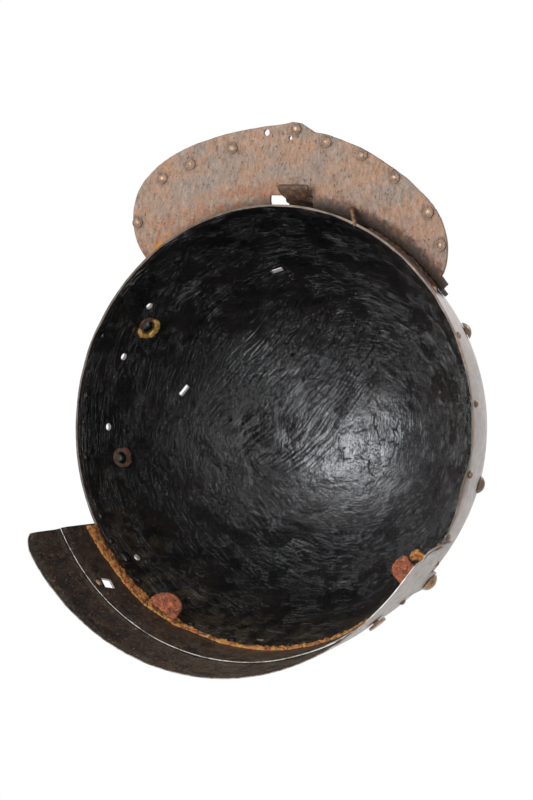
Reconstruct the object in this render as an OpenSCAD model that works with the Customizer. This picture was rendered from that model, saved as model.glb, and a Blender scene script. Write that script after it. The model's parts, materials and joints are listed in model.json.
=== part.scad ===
// Antique iron cavalry helmet: raised skull, flat riveted peak with a sliding
// nasal bar, and the first two lames of a riveted neck guard. Millimetres.
// The origin is the centre of the skull's rim, +Z is up to the crown,
// -Y is the front with the peak, +Y the nape, +X the wearer's left.
// Angles of the features are counted round the skull from the front.

/* [Skull] */
// outside radius of the skull at the rim
rim_r = 111; // [105:0.5:120]
// thickness of the skull's wall
wall = 2.0; // [1.4:0.1:2.6]
// radius of the curve of the skull's side, seen from the front
side_r = 150; // [140:1:170]
// inward lean of the wall at the rim, in degrees
side_lean = 6; // [4:0.5:8]

/* [Peak] */
// height of the peak's underside above the rim
peak_z = 11; // [9:0.5:13]
// thickness of the peak
peak_t = 2.0; // [1.4:0.1:2.6]
// how far the curve of the peak reaches in front of the rim
peak_reach = 38; // [34:0.5:44]
// radius of the peak's front edge, on the wearer's right and left of the point
peak_right_r = 164; // [158:1:170]
peak_left_r = 125; // [121:1:130]
// how far the point in the middle stands out of the front edge
peak_point = 4.5; // [3.5:0.5:6]
// half width across the ends of the peak
peak_half_w = 88.5; // [87:0.5:91]
// radius of the bend from the peak up into its flange
bend_r = 6; // [4.5:0.5:7]
// height of the upright flange at the peak's root
flange_h = 14; // [13:0.5:18]
// gap between the flange and the skull, bridged by the rivets
flange_gap = 0.6; // [0.4:0.1:1.2]
// angle where the flange ends on either side
flange_end = 50.5; // [48:0.5:54]
// width of the slot for the nasal bar
slot_w = 24; // [20:0.5:26]

/* [Nasal bar] */
// width of the bar
bar_w = 14.5; // [12:0.5:15]
// thickness of the bar
bar_t = 3.0; // [2.4:0.1:3.4]
// length of the bar above the peak
bar_len = 98; // [97:1:112]
// length of the turned end, forward under the peak
tab_reach = 10; // [8:0.5:14]
// how steeply the turned end hangs, in degrees
tab_drop = 28; // [20:1:32]
// how far the bar stands beside the middle, to the wearer's left
bar_x = 5.5; // [4.5:0.5:6]
// backward lean of the bar, in degrees
bar_lean = 10; // [8:0.5:11]

/* [Neck guard] */
// thickness of the lames
lame_t = 1.2; // [1:0.1:1.6]
// half of the angle that the lames cover round the nape
lame_half = 61.5; // [60:0.5:66]
// depth of the upper lame's lower edge under the rim, at the nape
upper_drop = 28; // [26:0.5:30]
// upward slope of the upper lame's lower edge towards the front, in degrees
upper_slope = 1; // [0.5:0.5:2.5]
// depth of the lower lame's straight lower edge under the rim
lower_drop = 55; // [53:0.5:58]
// how far the lames overlap
overlap = 6; // [5:0.5:6.5]
// outward flare of the upper lame, in millimetres per millimetre of depth
flare = 0.145; // [0.125:0.005:0.165]
// play between the two lames
lame_play = 0.7; // [0.6:0.05:0.9]
// angle of the pivots from the middle of the nape
pivot_a = 50; // [47:0.5:52]
// height of the pivots above the rim
pivot_z = 8.5; // [7.5:0.5:10]

/* [Leather] */
// depth of the leather edge under the rim at the nape
leather_h = 5; // [3:0.5:8]
// radius of the half round leather tabs
tab_r = 8.5; // [6:0.5:10]

/* [Rivets] */
// radius of the big domed heads
big_head_r = 4.5; // [4:0.25:5.25]
// radius of the small heads
small_head_r = 2.2; // [1.8:0.1:2.6]
// radius of the small shanks
small_shank_r = 1.2; // [1:0.1:1.4]

/* [Hidden] */
$fn = 64;

shoulder = 50;
arc_cr = rim_r - side_r * cos(side_lean);
arc_cz = -side_r * sin(side_lean);
crown_r = side_r + arc_cr / cos(shoulder);
crown_cz = arc_cz - arc_cr * tan(shoulder);

// a point of the skull's section, off millimetres outside the outer face
function skull_pt(a, off) = a <= shoulder
    ? [arc_cr + (side_r + off) * cos(a), arc_cz + (side_r + off) * sin(a)]
    : [(crown_r + off) * cos(a), crown_cz + (crown_r + off) * sin(a)];
// the angle at which a face off millimetres outside the outer one meets the rim plane
function rim_a(off) = asin(side_r * sin(side_lean) / (side_r + off));
function skull_face(off) = concat(
    [for (i = [0:11]) skull_pt(rim_a(off) + (shoulder - rim_a(off)) * i / 12, off)],
    [for (i = [0:10]) skull_pt(shoulder + (90 - shoulder) * i / 10, off)]);
// outer radius and slope of the side at a height, the upper lame's below the rim
function skull_r(z) = arc_cr + sqrt(side_r * side_r - (z - arc_cz) * (z - arc_cz));
function skull_tilt(z) = asin((z - arc_cz) / side_r);
function lame_r(z) = z >= 0 ? skull_r(z) + 0.15 : rim_r + 0.15 - flare * z;
function lower_r(z) = lame_r(z) + lame_t + lame_play - (z < 0 ? 0.016 * z : 0);
function inner_r(z) = arc_cr + sqrt((side_r - wall) * (side_r - wall) - (z - arc_cz) * (z - arc_cz));
function mirrored(list) = concat(list, [for (a = list) -a]);

flange_t = 1.8;
root_z = peak_z + 9;
root_r = skull_r(peak_z) + flange_gap;
root_angles = mirrored([10.5, 23, 38]);
// angle and height of the strap rivets and of the lining rivets
strap_spots = [[-61, 33], [-101, 31], [60.3, 33], [103.6, 33]];
lining_spots = [[-50, 5.5], [-66.8, 5.5], [-83.6, 5.5], [-100.4, 5.5], [-117, 5.5],
    [50, 5.5], [64, 4], [82, 6], [100, 3.5], [117, 3]];
upper_rivet_angles = mirrored([180 - pivot_a - 5.5, 180 - pivot_a + 8]);
upper_rivet_z = pivot_z - 4;
nape_angles = mirrored([171, 158]);
// angle and distance in front of the rim of each rivet of the peak's edge
edge_rivets = [[-40, 21.5], [-30, 32.5], [-23, 32], [-13, 32.5], [1.2, 38.5],
    [8, 33.5], [16.5, 31.5], [25, 27.5], [35.5, 22.5], [42.5, 14.5]];
washer_r = 2.8;
lost_rivet = [-5.2, 37.3, 1.75];
thread_hole = [0, 34, 1.1];
slot_mid = 2;
slot_front = root_r + 6.2;
bar_y = -(root_r + 4.2);
staple_z = 26;
staple_h = 9;
screw_s = staple_z + staple_h / 2;
staple_a = asin(bar_x / skull_r(screw_s));
slot_a = 43.7;
slot_z = -17.1;
slot_l = 6.5;
inner_rivet_z = -23.2;
disc_a = 39.6;
disc_z = -28.5;
ear_r = 6;
corner_r = 12;

// a feature on the outer face, its +Z along the outward normal, +Y round the skull
module on_skull(a, z, off = 0) {
    rotate([0, 0, a - 90]) translate([skull_r(z), 0, z])
        rotate([0, 90 - skull_tilt(z), 0]) translate([0, 0, off]) children();
}
module on_lame(a, z, off = 0) {
    rotate([0, 0, a - 90]) translate([lame_r(z), 0, z])
        rotate([0, 90 - atan(flare), 0]) translate([0, 0, off]) children();
}
// the bar's own frame: +Z along the bar, -Y its front, origin at its foot
module on_bar() {
    translate([bar_x, bar_y, peak_z]) rotate([-bar_lean, 0, 0]) children();
}
module dome(r, h) {
    ball = (r * r + h * h) / (2 * h);
    intersection() {
        translate([0, 0, h - ball]) sphere(r = ball);
        cylinder(r = r * 1.2, h = h * 1.2);
    }
}
// a rivet along Z: head on z = 0, shank down through the grip, peened end below
module rivet(shank, grip, head_r, head_h, tail_r, tail_h) {
    union() {
        dome(head_r, head_h);
        translate([0, 0, -grip - 0.3]) cylinder(r = shank, h = grip + 0.6);
        translate([0, 0, -grip]) mirror([0, 0, 1]) dome(tail_r, tail_h);
    }
}
// a band round the skull between two radius lists, from angle a0 over a turn of span
module band(points, a0, span) {
    rotate([0, 0, a0 - 90]) rotate_extrude(angle = span, $fn = 180) polygon(points);
}
// the region under a plane that drops towards the nape
module under(slope, y, z) {
    translate([0, y, z]) rotate([-slope, 0, 0]) translate([-200, -300, -120]) cube([400, 400, 120]);
}

module skull() {
    color([0.42, 0.40, 0.38]) difference() {
        rotate_extrude($fn = 180) polygon(concat(skull_face(0),
            [for (i = [0:len(skull_face(-wall)) - 1]) skull_face(-wall)[len(skull_face(-wall)) - 1 - i]]));
        for (a = root_angles) on_skull(a, root_z) cylinder(r = 1.8, h = 12, center = true);
        for (p = strap_spots) on_skull(p[0], p[1]) cylinder(r = 2, h = 12, center = true);
        for (s = [-1, 1]) on_skull(s * (180 - pivot_a), pivot_z) cylinder(r = 2.4, h = 12, center = true);
        for (a = upper_rivet_angles) on_skull(a, upper_rivet_z) cylinder(r = small_shank_r, h = 12, center = true);
        for (a = nape_angles) on_skull(a, 3) cylinder(r = small_shank_r, h = 12, center = true);
        for (p = lining_spots) on_skull(p[0], p[1]) cylinder(r = small_shank_r, h = 12, center = true);
        for (s = [-1, 1]) on_skull(staple_a + s * 8.5, staple_z + staple_h / 2) cylinder(r = 1.5, h = 12, center = true);
        // holes of the lost lining rivets on the wearer's right
        for (p = [[-55, 27], [-71.5, 26.5], [-92, 24], [-131, 16]])
            on_skull(p[0], p[1]) cylinder(r = 1.9, h = 12, center = true);
        // narrow slits of the lost crown band
        on_skull(-21, 65) rotate([0, 0, 30]) cube([7, 1.8, 14], center = true);
        on_skull(-78.5, 67) rotate([0, 0, 30]) cube([7, 1.8, 14], center = true);
        // small square hole at the nape
        on_skull(-177, 10.5) cube([2.6, 4.2, 14], center = true);
    }
}

// one half of the peak's plan: a wide front curve with a round end tangent to it
module peak_half(front_c, front_r, end_c, end_r, side) {
    d = end_c - front_c;
    x = end_c[0] + end_r * d[0] / norm(d);
    intersection() {
        translate(front_c) circle(r = front_r, $fn = 240);
        union() {
            translate([side < 0 ? x : 2, -240]) square([side < 0 ? 3 - x : x - 2, 190]);
            translate(end_c) circle(r = end_r, $fn = 120);
        }
    }
}
// plan of the peak: fuller on the wearer's right, with round ends and a blunt point
module peak_plan() {
    front = rim_r + peak_reach;
    union() {
        peak_half([2.5, peak_right_r - front - 3], peak_right_r, [31.5 - peak_half_w, 5.5 - rim_r], 31.5, -1);
        peak_half([-10.5, peak_left_r - front - 1.7], peak_left_r, [peak_half_w - 36.5, 21 - rim_r], 36.5, 1);
        polygon([[-10, -(front - 8)], [-10, -(front + 2.3)], [-4.5, -(front + 3.4)], [0.5, -(front + peak_point)],
            [5.6, -(front + peak_point - 0.5)], [9.6, -(front + 1.5)], [14, -(front - 0.9)], [14, -(front - 8)]]);
    }
}

module peak() {
    z1 = peak_z + flange_h;
    zb = peak_z + bend_r;
    c = skull_r(zb) + flange_gap + bend_r;
    up_r = bend_r - flange_t;
    color([0.60, 0.47, 0.40]) difference() {
        union() {
            translate([0, 0, peak_z]) linear_extrude(height = peak_t) difference() {
                peak_plan();
                circle(r = c - 1.5, $fn = 180);
                translate([-150, -79]) square([300, 200]);
            }
            for (a0 = [-flange_end, 5.5]) band(concat(
                [for (i = [0:3]) [skull_r(z1 + (zb - z1) * i / 3) + flange_gap, z1 + (zb - z1) * i / 3]],
                [for (i = [1:3]) [c - bend_r * cos(20 * i), zb - bend_r * sin(20 * i)]],
                [[c - 1, peak_z + 0.2], [c + 1, peak_z + 0.6], [c + 1, peak_z + 1.5]],
                [for (i = [3:-1:0]) [c - up_r * cos(20 * i), zb - up_r * sin(20 * i)]],
                [for (i = [1:3]) [skull_r(zb + (z1 - zb) * i / 3) + flange_gap + flange_t, zb + (z1 - zb) * i / 3]]),
                a0, flange_end - 5.5);
        }
        translate([slot_mid - slot_w / 2, -slot_front, peak_z - 1]) cube([slot_w, 40, flange_h + 3]);
        for (a = root_angles) on_skull(a, root_z) cylinder(r = 1.8, h = 16, center = true);
        for (e = edge_rivets) rotate([0, 0, e[0]]) translate([0, -(rim_r + e[1]), peak_z - 5]) cylinder(r = small_shank_r, h = 12);
        rotate([0, 0, lost_rivet[0]]) translate([0, -(rim_r + lost_rivet[1]), peak_z - 5]) cylinder(r = lost_rivet[2], h = 12);
        rotate([0, 0, thread_hole[0]]) translate([0, -(rim_r + thread_hole[1]), peak_z - 5]) cylinder(r = thread_hole[2], h = 12);
    }
}

module peak_root_rivets() {
    color([0.45, 0.30, 0.20]) for (a = root_angles)
        on_skull(a, root_z, flange_gap + flange_t + 0.1) rivet(1.8, flange_gap + flange_t + wall + 0.25, 3.2, 1.8, 2.6, 1.0);
}

module peak_edge_rivets() {
    color([0.45, 0.30, 0.20]) for (e = edge_rivets)
        rotate([0, 0, e[0]]) translate([0, -(rim_r + e[1]), peak_z + peak_t])
            rivet(small_shank_r, peak_t + 0.6, small_head_r, 1.2, 1.9, 0.8);
}

module peak_edge_washers() {
    color([0.5, 0.35, 0.22]) for (e = edge_rivets)
        rotate([0, 0, e[0]]) translate([0, -(rim_r + e[1]), peak_z - 0.6]) difference() {
            cylinder(r = washer_r, h = 0.6);
            translate([0, 0, -1]) cylinder(r = small_shank_r, h = 3);
        }
}

module nasal_bar() {
    color([0.30, 0.24, 0.20]) union() {
        on_bar() translate([-bar_w / 2, -bar_t / 2, -2.5]) cube([bar_w, bar_t, bar_len + 2.5]);
        // turned end, just under the peak
        translate([bar_x, bar_y + bar_t / 2, peak_z - 0.4]) rotate([tab_drop, 0, 0])
            translate([0, 0, -2.6]) linear_extrude(height = 2.6)
            polygon([[-5.6, 0], [5.6, 0], [7.6, -4], [8.5, -tab_reach + 1.5], [7.5, -tab_reach],
                [-7.5, -tab_reach], [-8.5, -tab_reach + 1.5], [-7.6, -4]]);
        // leaf that keeps the bar in its staple
        on_bar() translate([0, bar_t / 2, bar_len]) rotate([90, 0, 0]) cylinder(r = 11, h = bar_t);
    }
}

module nasal_staple() {
    z0 = staple_z;
    z1 = staple_z + staple_h;
    color([0.36, 0.30, 0.26]) difference() {
        union() {
            difference() {
                on_bar() translate([-12, -bar_t / 2 - 4.5, z0 - peak_z]) cube([24, 30, staple_h]);
                rotate_extrude($fn = 180) polygon([[0, 0], [skull_r(0) + 0.15, 0], [skull_r(12) + 0.15, 12],
                    [skull_r(20) + 0.15, 20], [skull_r(28) + 0.15, 28], [skull_r(36) + 0.15, 36],
                    [skull_r(48) + 0.15, 48], [0, 48]]);
            }
            band([[skull_r(z0) + 0.15, z0], [skull_r(z0 + 4.5) + 0.2, z0 + 4.5], [skull_r(z1) + 0.15, z1],
                [skull_r(z1) + 2, z1], [skull_r(z0 + 4.5) + 2.05, z0 + 4.5], [skull_r(z0) + 2, z0]], staple_a - 11.5, 23);
        }
        on_bar() translate([-bar_w / 2 - 0.05, -bar_t / 2 - 0.05, -10]) cube([bar_w + 0.1, bar_t + 0.1, 90]);
        for (s = [-1, 1]) on_skull(staple_a + s * 8.5, z0 + staple_h / 2) cylinder(r = 1.5, h = 16, center = true);
        on_bar() translate([0, 0, screw_s - peak_z]) rotate([90, 0, 0]) cylinder(r = 2.55, h = 30);
    }
}

module nasal_staple_rivets() {
    color([0.45, 0.30, 0.20]) for (s = [-1, 1])
        on_skull(staple_a + s * 8.5, staple_z + staple_h / 2, 2.1) rivet(1.5, wall + 2.2, 2.2, 1.2, 2.4, 1.0);
}

module nasal_clamp_screw() {
    color([0.55, 0.42, 0.25]) on_bar() translate([0, -bar_t / 2 - 0.1, screw_s - peak_z]) rotate([90, 0, 0]) {
        union() {
            cylinder(r = 2.5, h = 11);
            translate([0, 0, 5.5]) cylinder(r = 4.5, h = 4);
            for (s = [-1, 1]) translate([s * 6.5, 1, 10]) rotate([90, 0, 0]) cylinder(r = 4.5, h = 2);
        }
    }
}

module neck_lame_upper() {
    color([0.24, 0.20, 0.18]) difference() {
        band([[lame_r(12.5), 12.5], [lame_r(6), 6], [lame_r(0), 0], [lame_r(-60), -60],
            [lame_r(-60) + lame_t, -60], [lame_r(0) + lame_t, 0], [lame_r(6) + lame_t, 6], [lame_r(12.5) + lame_t, 12.5]],
            180 - lame_half, 2 * lame_half);
        under(upper_slope, rim_r + 4, -upper_drop);
        for (s = [-1, 1]) on_skull(s * (180 - pivot_a), pivot_z) cylinder(r = 2.4, h = 16, center = true);
        for (a = upper_rivet_angles) on_skull(a, upper_rivet_z) cylinder(r = small_shank_r, h = 16, center = true);
        for (a = nape_angles) on_skull(a, 3) cylinder(r = small_shank_r, h = 16, center = true);
        for (s = [-1, 1]) on_lame(s * (180 - slot_a), slot_z) rotate([0, 0, -18 * s]) cube([slot_l, 6.2, 30], center = true);
        for (s = [-1, 1]) on_lame(s * (180 - slot_a - 0.8), inner_rivet_z) cylinder(r = small_shank_r, h = 16, center = true);
    }
}

module neck_lame_lower() {
    color([0.26, 0.22, 0.19]) difference() {
        intersection() {
            band([[lower_r(15), 15], [lower_r(7), 7], [lower_r(0), 0], [lower_r(-80), -80],
                [lower_r(-80) + lame_t, -80], [lower_r(0) + lame_t, 0], [lower_r(7) + lame_t, 7], [lower_r(15) + lame_t, 15]],
                180 - lame_half, 2 * lame_half);
            union() {
                under(upper_slope, rim_r + 4, overlap - upper_drop);
                // arm that carries the ear of the pivot
                for (s = [-1, 1]) on_skull(s * (180 - pivot_a), pivot_z, -8) union() {
                    cylinder(r = ear_r, h = 24);
                    translate([0, -ear_r, 0]) cube([44, 2 * ear_r, 24]);
                    translate([pivot_z + 3, s > 0 ? -32 : -ear_r, 0]) cube([30, 32 + ear_r, 24]);
                }
            }
        }
        translate([-200, -200, -lower_drop - 60]) cube([400, 400, 60]);
        // round corners
        for (s = [-1, 1]) rotate([0, 0, s * (180 - lame_half + corner_r * 0.465) - 90])
            translate([rim_r, 0, corner_r - 0.6 - lower_drop]) rotate([0, 90, 0]) difference() {
                translate([0, s > 0 ? -25 : 0, -10]) cube([25, 25, 40]);
                cylinder(r = corner_r, h = 100, center = true);
            }
        for (s = [-1, 1]) on_skull(s * (180 - pivot_a), pivot_z) cylinder(r = 2.9, h = 20, center = true);
        for (s = [-1, 1]) on_lame(s * (180 - disc_a), disc_z) cylinder(r = 1.6, h = 16, center = true);
    }
}

module pivot_rivet(s) {
    stack = 0.15 + 2 * lame_t + lame_play;
    on_skull(s * (180 - pivot_a), pivot_z, stack + 0.5) rivet(2.4, stack + wall + 0.6, big_head_r + 0.5, 2.8, 3.6, 1.4);
}
module lame_pivot_rivet_left() {
    color([0.55, 0.45, 0.28]) pivot_rivet(1);
}
module lame_pivot_rivet_right() {
    color([0.55, 0.45, 0.28]) pivot_rivet(-1);
}

module upper_lame_rivets() {
    color([0.45, 0.36, 0.24]) for (a = upper_rivet_angles)
        on_skull(a, upper_rivet_z, 0.15 + lame_t + 0.1) rivet(small_shank_r, wall + lame_t + 0.35, 2.0, 1.2, 1.9, 0.8);
}

module nape_rivets() {
    color([0.40, 0.30, 0.22]) for (a = nape_angles)
        on_skull(a, 3, 0.15 + lame_t + 0.1) rivet(small_shank_r, wall + lame_t + 0.35, small_head_r, 1.2, 1.9, 0.8);
}

module lame_inner_rivets() {
    color([0.48, 0.42, 0.36]) for (s = [-1, 1])
        on_lame(s * (180 - slot_a - 0.8), inner_rivet_z, lame_t) union() {
            translate([0, 0, -lame_t - 0.2]) cylinder(r = small_shank_r, h = lame_t + 0.2);
            translate([0, 0, -lame_t - 0.06]) mirror([0, 0, 1]) dome(2.0, 0.9);
        }
}

module lame_disc_rivets() {
    color([0.42, 0.34, 0.27]) for (s = [-1, 1])
        on_lame(s * (180 - disc_a), disc_z, lower_r(disc_z) - lame_r(disc_z) + 0.02) union() {
            cylinder(r = 1.6, h = lame_t + 1.2);
            translate([0, 0, lame_t + 1.0]) cylinder(r = 4.8, h = 1.2);
        }
}

// leather edge under the rim, against the inner face of the upper lame
module leather_band() {
    color([0.60, 0.38, 0.20]) band([[rim_r - wall + 0.3, -0.1], [lame_r(0) - 0.12, -0.1],
        [lame_r(-leather_h) - 0.12, -leather_h], [lame_r(-leather_h) - 1.8, -leather_h]],
        180 - lame_half + 0.5, 2 * lame_half - 1);
}

// half round leather tab on the inner face, just above the rim
module leather_tab_right() {
    color([0.45, 0.24, 0.16]) intersection() {
        band([[inner_r(0.3) - 0.1, 0.3], [inner_r(0.3) - 1.5, 0.3], [inner_r(7) - 1.5, 7], [inner_r(14) - 1.5, 14],
            [inner_r(14) - 0.1, 14], [inner_r(7) - 0.1, 7]], -157, 16);
        on_skull(-149, 1.5, -10) cylinder(r = tab_r, h = 20);
    }
}
// torn flap of the leather edge, turned in under the rim
module leather_tab_left() {
    color([0.45, 0.24, 0.16]) rotate([0, 0, 129]) translate([0, 0, -1.8]) linear_extrude(height = 1.4)
        polygon([[-7, -rim_r + wall + 0.2], [7, -rim_r + wall + 0.2], [6.5, -103], [3, -98],
            [-2, -96.5], [-6, -99.5]]);
}

module strap_rivets() {
    color([0.48, 0.40, 0.30]) for (p = strap_spots)
        on_skull(p[0], p[1], 0.2) rivet(2, wall + 1.4, big_head_r, 2.8, 3.2, 1.4);
}

module strap_washers() {
    color([0.50, 0.33, 0.20]) for (p = strap_spots)
        on_skull(p[0], p[1], -wall - 1.2) difference() {
            cylinder(r = 5, h = 1.0);
            translate([0, 0, -1]) cylinder(r = 2, h = 3);
        }
}

module lining_rivets() {
    color([0.45, 0.33, 0.24]) for (p = lining_spots)
        on_skull(p[0], p[1], 0.1) rivet(small_shank_r, wall + 0.2, small_head_r - 0.3, 1.1, 1.8, 0.9);
}

skull();
peak();
peak_root_rivets();
peak_edge_rivets();
peak_edge_washers();
nasal_bar();
nasal_staple();
nasal_staple_rivets();
nasal_clamp_screw();
neck_lame_upper();
neck_lame_lower();
lame_pivot_rivet_left();
lame_pivot_rivet_right();
upper_lame_rivets();
nape_rivets();
lame_inner_rivets();
lame_disc_rivets();
leather_band();
leather_tab_left();
leather_tab_right();
strap_rivets();
strap_washers();
lining_rivets();
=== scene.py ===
import json
import math

import bmesh
import bpy
import numpy as np
from mathutils import Matrix, Vector, noise


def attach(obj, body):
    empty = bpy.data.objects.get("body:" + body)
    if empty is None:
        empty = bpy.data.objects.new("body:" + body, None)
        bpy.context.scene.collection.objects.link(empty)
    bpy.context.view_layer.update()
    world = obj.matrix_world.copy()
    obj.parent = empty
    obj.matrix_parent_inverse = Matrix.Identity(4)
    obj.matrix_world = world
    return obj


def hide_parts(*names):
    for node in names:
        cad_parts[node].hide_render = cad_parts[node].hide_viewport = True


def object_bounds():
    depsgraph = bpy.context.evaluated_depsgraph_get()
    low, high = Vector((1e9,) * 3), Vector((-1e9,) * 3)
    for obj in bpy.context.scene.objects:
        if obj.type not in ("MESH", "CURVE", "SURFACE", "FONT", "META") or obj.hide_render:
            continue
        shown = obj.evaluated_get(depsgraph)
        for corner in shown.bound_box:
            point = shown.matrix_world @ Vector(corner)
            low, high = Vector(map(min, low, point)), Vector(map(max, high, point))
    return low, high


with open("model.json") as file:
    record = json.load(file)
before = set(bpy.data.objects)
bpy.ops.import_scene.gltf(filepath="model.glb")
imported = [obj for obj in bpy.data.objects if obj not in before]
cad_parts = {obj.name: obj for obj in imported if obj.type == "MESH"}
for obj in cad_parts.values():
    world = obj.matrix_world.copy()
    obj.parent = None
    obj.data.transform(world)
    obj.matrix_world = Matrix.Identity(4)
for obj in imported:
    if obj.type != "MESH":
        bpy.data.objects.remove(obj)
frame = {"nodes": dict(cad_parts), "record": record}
CAD_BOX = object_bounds()
NODES = frame["nodes"]
MM = 0.001

# ---------------------------------------------------------------- sizes, in millimetres
RIM_R, WALL, SIDE_R, LEAN, SHOULDER = 111.0, 2.0, 150.0, 6.0, 50.0
PEAK_Z, PEAK_T, PEAK_FRONT, PEAK_POINT, PEAK_HALF_W = 11.0, 2.0, 149.0, 4.5, 88.5
BEND_R, FLANGE_T, FLANGE_H, FLANGE_GAP, FLANGE_END = 6.0, 1.8, 14.0, 0.6, 50.5
SLOT_MID, SLOT_W = 2.0, 24.0
LAME_T, LAME_HALF, UPPER_DROP, UPPER_SLOPE, LOWER_DROP, OVERLAP = 1.2, 61.5, 28.0, 1.0, 55.0, 6.0
FLARE, LAME_PLAY, PIVOT_A, PIVOT_Z, EAR_R, CORNER_R = 0.145, 0.7, 50.0, 8.5, 6.0, 12.0
BAR_X, BAR_W, BAR_T, BAR_LEN, BAR_LEAN, TAB_REACH, TAB_DROP = 5.5, 14.5, 3.0, 98.0, 10.0, 10.0, 28.0
LEATHER_H = 5.0

ARC_R0 = RIM_R - SIDE_R * math.cos(math.radians(LEAN))
ARC_Z0 = -SIDE_R * math.sin(math.radians(LEAN))
CROWN_R = SIDE_R + ARC_R0 / math.cos(math.radians(SHOULDER))
CROWN_Z0 = ARC_Z0 - ARC_R0 * math.tan(math.radians(SHOULDER))


def skull_r(z):
    return ARC_R0 + np.sqrt(SIDE_R**2 - (z - ARC_Z0) ** 2)


def lame_r(z):
    return np.where(z >= 0, skull_r(np.maximum(z, 0)) + 0.15, RIM_R + 0.15 - FLARE * z)


def lower_r(z):
    return lame_r(z) + LAME_T + LAME_PLAY - np.where(z < 0, 0.016 * z, 0)


def skull_profile(off, steps):
    """Points (r, z) of the skull's section from the rim to the crown, off millimetres outside its outer face."""
    rim_a = math.asin(SIDE_R * math.sin(math.radians(LEAN)) / (SIDE_R + off))
    side_len = (SIDE_R + off) * (math.radians(SHOULDER) - rim_a)
    crown_len = (CROWN_R + off) * math.radians(90 - SHOULDER)
    out = []
    for t in np.linspace(0, side_len + crown_len, steps):
        if t <= side_len:
            a = rim_a + t / (SIDE_R + off)
            out.append((ARC_R0 + (SIDE_R + off) * math.cos(a), ARC_Z0 + (SIDE_R + off) * math.sin(a), a))
        else:
            a = math.radians(SHOULDER) + (t - side_len) / (CROWN_R + off)
            out.append(((CROWN_R + off) * math.cos(a), CROWN_Z0 + (CROWN_R + off) * math.sin(a), a))
    return out


# ---------------------------------------------------------------- noise and meshes
def nz(x, y, z, size, seed):
    """Smooth noise, about -1 to 1, with features of that size in millimetres."""
    return noise.noise(Vector((x / size + seed, y / size - 1.7 * seed, z / size + 0.6 * seed)))


def fbm(x, y, z, size, octaves, seed):
    total, amp = 0.0, 1.0
    for k in range(octaves):
        total += amp * nz(x, y, z, size / 2**k, seed + 7.3 * k)
        amp *= 0.5
    return total


def ang(a):
    """Unit vector in the rim plane at an angle from the front, in degrees."""
    return math.sin(math.radians(a)), -math.cos(math.radians(a))


def obj_from(name, verts, faces, smooth=True):
    mesh = bpy.data.meshes.new(name)
    mesh.from_pydata([(x * MM, y * MM, z * MM) for x, y, z in verts], [], faces)
    mesh.validate()
    bm = bmesh.new()
    bm.from_mesh(mesh)
    bmesh.ops.remove_doubles(bm, verts=bm.verts, dist=1e-6)
    bmesh.ops.recalc_face_normals(bm, faces=bm.faces)
    bm.to_mesh(mesh)
    bm.free()
    if smooth:
        mesh.polygons.foreach_set("use_smooth", [True] * len(mesh.polygons))
    ob = bpy.data.objects.new(name, mesh)
    bpy.context.scene.collection.objects.link(ob)
    return ob


def sheet_solid(name, outer, inner, closed=False):
    """A closed shell between two grids of points, rows by columns. Columns run round and join where closed is set."""
    rows, cols = len(outer), len(outer[0])
    verts = [p for row in outer for p in row] + [p for row in inner for p in row]
    base = rows * cols
    faces = []

    def o(i, j):
        return i * cols + j % cols

    span = cols if closed else cols - 1
    for i in range(rows - 1):
        for j in range(span):
            a, b, c, d = o(i, j), o(i, j + 1), o(i + 1, j + 1), o(i + 1, j)
            faces.append((a, b, c, d))
            faces.append((base + a, base + d, base + c, base + b))
    for j in range(span):
        faces.append((o(0, j + 1), o(0, j), base + o(0, j), base + o(0, j + 1)))
        faces.append((o(rows - 1, j), o(rows - 1, j + 1), base + o(rows - 1, j + 1), base + o(rows - 1, j)))
    if not closed:
        for i in range(rows - 1):
            faces.append((o(i, 0), o(i + 1, 0), base + o(i + 1, 0), base + o(i, 0)))
            faces.append((o(i + 1, cols - 1), o(i, cols - 1), base + o(i, cols - 1), base + o(i + 1, cols - 1)))
    return obj_from(name, verts, faces)


def cut(ob, cutters):
    """Takes the cutters out of ob and applies the result."""
    for c in cutters:
        mod = ob.modifiers.new("cut", "BOOLEAN")
        mod.operation, mod.solver, mod.object = "DIFFERENCE", "EXACT", c
    depsgraph = bpy.context.evaluated_depsgraph_get()
    mesh = bpy.data.meshes.new_from_object(ob.evaluated_get(depsgraph))
    ob.modifiers.clear()
    ob.data = mesh
    mesh.polygons.foreach_set("use_smooth", [True] * len(mesh.polygons))
    for c in cutters:
        bpy.data.objects.remove(c)


def cutter(kind, matrix, size):
    """A rod of radius size[0] or a block of three sizes, in millimetres, placed by matrix."""
    bm = bmesh.new()
    if kind == "rod":
        r, depth = size[0] * MM, size[1] * MM
        bmesh.ops.create_cone(bm, cap_ends=True, segments=20, radius1=r, radius2=r, depth=depth)
    else:
        bmesh.ops.create_cube(bm, size=1.0)
        bmesh.ops.scale(bm, verts=bm.verts, vec=[s * MM for s in size])
    bm.transform(matrix)
    mesh = bpy.data.meshes.new("cutter")
    bm.to_mesh(mesh)
    bm.free()
    ob = bpy.data.objects.new("cutter", mesh)
    bpy.context.scene.collection.objects.link(ob)
    return ob


def place(a, r, z, tilt, spin):
    """Matrix with +Z along the outward normal at an angle, radius and height; local X runs down, Y round."""
    m = Matrix.Rotation(math.radians(a - 90), 4, "Z") @ Matrix.Translation((r * MM, 0, z * MM))
    return m @ Matrix.Rotation(math.radians(90 - tilt), 4, "Y") @ Matrix.Rotation(math.radians(spin), 4, "Z")


def on_skull(a, z, spin=0.0):
    tilt = math.degrees(math.asin((z - ARC_Z0) / SIDE_R))
    return place(a, float(skull_r(z)), z, tilt, spin)


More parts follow.
